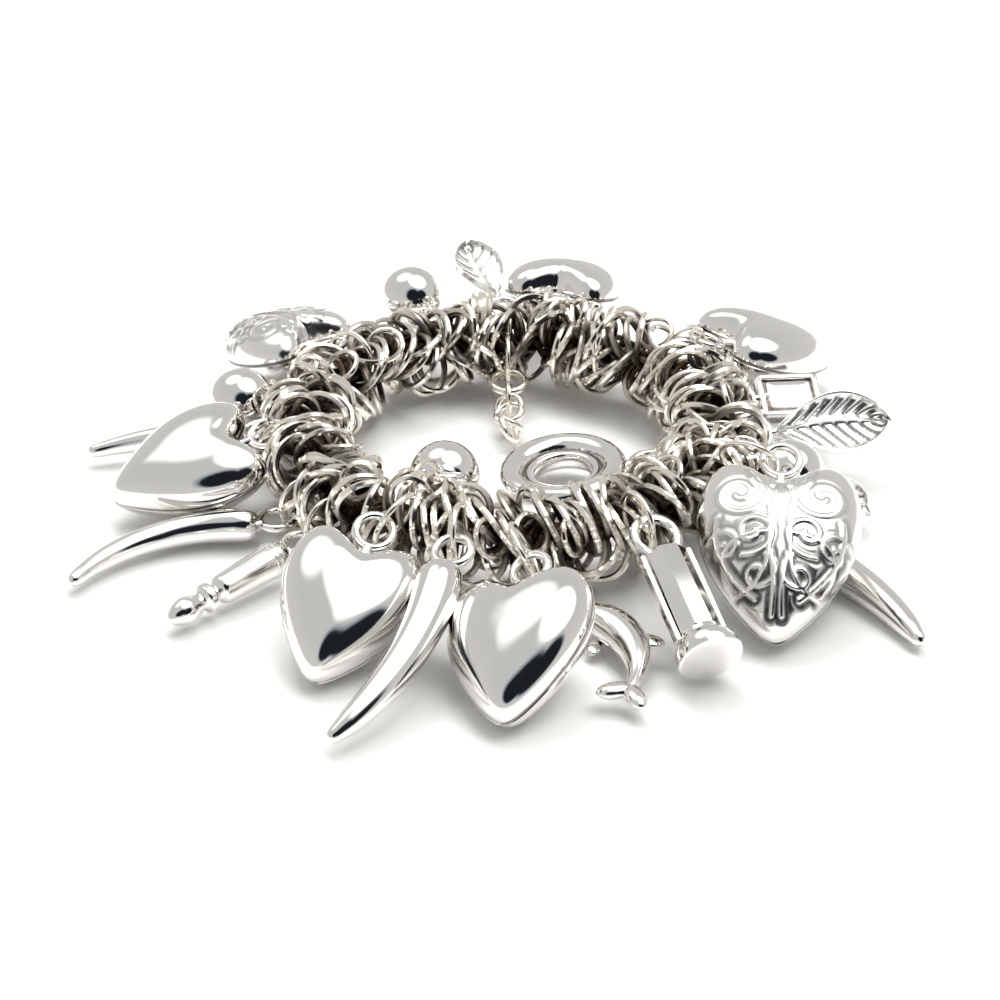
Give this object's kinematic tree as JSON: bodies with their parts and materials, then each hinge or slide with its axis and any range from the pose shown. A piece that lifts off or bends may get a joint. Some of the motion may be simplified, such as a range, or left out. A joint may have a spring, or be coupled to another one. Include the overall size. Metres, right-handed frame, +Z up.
{
  "type": "charm bracelet",
  "caption": "Closed silver charm bracelet: a thick band of jump rings with hearts, horns, balls, leaves and other small charms on bails, lying flat",
  "frame": {"origin": "on the table under the middle of the whole bracelet's box, charms included", "axes": "+Z up from the table, -Y towards the viewer of the picture, +X to the viewer's right"},
  "size_m": [0.1386, 0.1496, 0.0215],
  "materials": {
    "polished_silver": "bright polished silver",
    "engraved_silver": "polished silver with darkened engraved scrolls",
    "leaf_silver": "satin silver with bright raised veins",
    "ring_silver": "polished silver, darker in the recesses"
  },
  "bodies": {
    "root": {"ring_band": "ring_silver", "link_cluster": "ring_silver", "clasp_ring": "polished_silver", "heart_left": "polished_silver", "heart_front_left": "polished_silver", "heart_front": "polished_silver", "heart_back_right": "polished_silver", "heart_back": "polished_silver", "heart_scrolled_right": "engraved_silver", "heart_scrolled_left": "engraved_silver", "horn_left_short": "polished_silver", "horn_left": "polished_silver", "horn_front": "polished_silver", "horn_right": "polished_silver", "ball_left": "polished_silver", "ball_back_left": "polished_silver", "ball_inner": "polished_silver", "ball_right": "polished_silver", "leaf_right": "leaf_silver", "leaf_right_lower": "leaf_silver", "leaf_back": "leaf_silver", "dolphin": "polished_silver", "bottle_charm": "polished_silver", "stamp_charm": "polished_silver", "plaque_charm": "polished_silver"}
  },
  "joints": []
}
